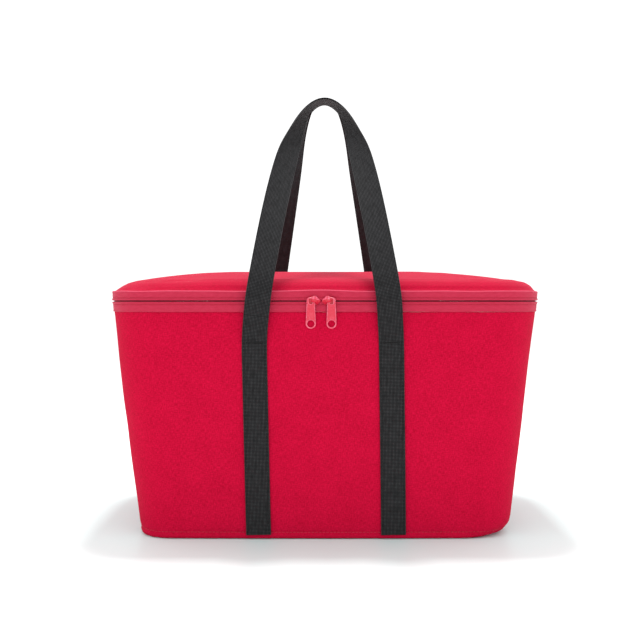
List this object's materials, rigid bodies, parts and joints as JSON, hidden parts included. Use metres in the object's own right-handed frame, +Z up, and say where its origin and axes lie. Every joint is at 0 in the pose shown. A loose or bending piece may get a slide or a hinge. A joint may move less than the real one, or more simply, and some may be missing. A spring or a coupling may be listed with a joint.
{
  "type": "insulated cooler bag",
  "caption": "Soft insulated tub with tapered sides and a domed zip lid on a fabric hinge, carried by two webbing handles sewn to the front and the back.",
  "frame": {"origin": "middle of the base, on the surface the bag stands on", "axes": "+Z up through the lid and the handles, the front with the zip sliders faces -Y, +X runs along the bag's length to the right as seen from the front"},
  "size_m": [0.4454, 0.275, 0.4691],
  "materials": {
    "outer_fabric": "woven polyester, melange",
    "zip_tape": "woven tape",
    "zip_coil": "nylon coil",
    "slider_enamel": "enamelled",
    "webbing": "woven webbing",
    "thread": "sewing thread",
    "foam": "closed-cell foam",
    "liner_foil": "metallised film",
    "base_board": "stiff board"
  },
  "bodies": {
    "root": {"front_panel": "outer_fabric", "back_panel": "outer_fabric", "side_seam_left": "outer_fabric", "side_seam_right": "outer_fabric", "base_panel": "outer_fabric", "foam_front": "foam", "foam_back": "foam", "foam_base": "foam", "base_board": "base_board", "liner": "liner_foil", "mouth_binding": "liner_foil", "zip_tape_lower": "zip_tape", "zip_coil_lower": "zip_coil", "hinge_strip_lower": "zip_tape", "zip_end_left": "zip_tape", "zip_end_right": "zip_tape", "strap_front_left": "webbing", "strap_front_right": "webbing", "strap_back_left": "webbing", "strap_back_right": "webbing", "stitch_bar_front_left": "thread", "stitch_bar_front_right": "thread", "stitch_bar_back_left": "thread", "stitch_bar_back_right": "thread"},
    "lid": {"lid_panel": "outer_fabric", "lid_foam": "foam", "lid_liner": "liner_foil", "lid_binding": "liner_foil", "zip_tape_upper": "zip_tape", "zip_coil_upper": "zip_coil", "hinge_strip_upper": "zip_tape"},
    "strap_bends_front": {"strap_bend_front_left": "webbing", "strap_bend_front_right": "webbing"},
    "strap_bends_back": {"strap_bend_back_left": "webbing", "strap_bend_back_right": "webbing"},
    "handle_front": {"handle_front": "webbing"},
    "handle_back": {"handle_back": "webbing"},
    "slider_left": {"slider_left": "slider_enamel", "crown_left": "slider_enamel"},
    "slider_right": {"slider_right": "slider_enamel", "crown_right": "slider_enamel"},
    "pull_left": {"pull_left": "slider_enamel"},
    "pull_right": {"pull_right": "slider_enamel"}
  },
  "joints": [
    {"name": "lid_hinge", "type": "hinge", "parent": "root", "child": "lid", "pos_m": [0, 0.1255, 0.24], "axis": [-1, 0, 0], "range_deg": [0, 100]},
    {"name": "strap_front_sway", "type": "hinge", "parent": "root", "child": "strap_bends_front", "pos_m": [0, -0.12466, 0.2043], "axis": [1, 0, 0], "range_deg": [0, 40]},
    {"name": "strap_back_sway", "type": "hinge", "parent": "root", "child": "strap_bends_back", "pos_m": [0, 0.12466, 0.2043], "axis": [-1, 0, 0], "range_deg": [0, 40]},
    {"name": "handle_front_fold", "type": "hinge", "parent": "strap_bends_front", "child": "handle_front", "pos_m": [0, -0.13911, 0.246], "axis": [1, 0, 0], "range_deg": [0, 140]},
    {"name": "handle_back_fold", "type": "hinge", "parent": "strap_bends_back", "child": "handle_back", "pos_m": [0, 0.13911, 0.246], "axis": [-1, 0, 0], "range_deg": [0, 140]},
    {"name": "slider_left_slide", "type": "slide", "parent": "root", "child": "slider_left", "axis": [-1, 0, 0], "range_m": [0, 0.139]},
    {"name": "slider_right_slide", "type": "slide", "parent": "root", "child": "slider_right", "axis": [1, 0, 0], "range_m": [0, 0.146]},
    {"name": "pull_left_swing", "type": "hinge", "parent": "slider_left", "child": "pull_left", "pos_m": [-0.0142, -0.1292, 0.24], "axis": [0, 0.9848, 0.1736], "range_deg": [-10, 100]},
    {"name": "pull_right_swing", "type": "hinge", "parent": "slider_right", "child": "pull_right", "pos_m": [0.0062, -0.1292, 0.24], "axis": [0, -0.9848, -0.1736], "range_deg": [-10, 100]}
  ],
  "couplings": [
    {"joint": "strap_front_sway", "follows": "lid_hinge", "ratio": 0.4},
    {"joint": "strap_back_sway", "follows": "lid_hinge", "ratio": 0.4}
  ]
}
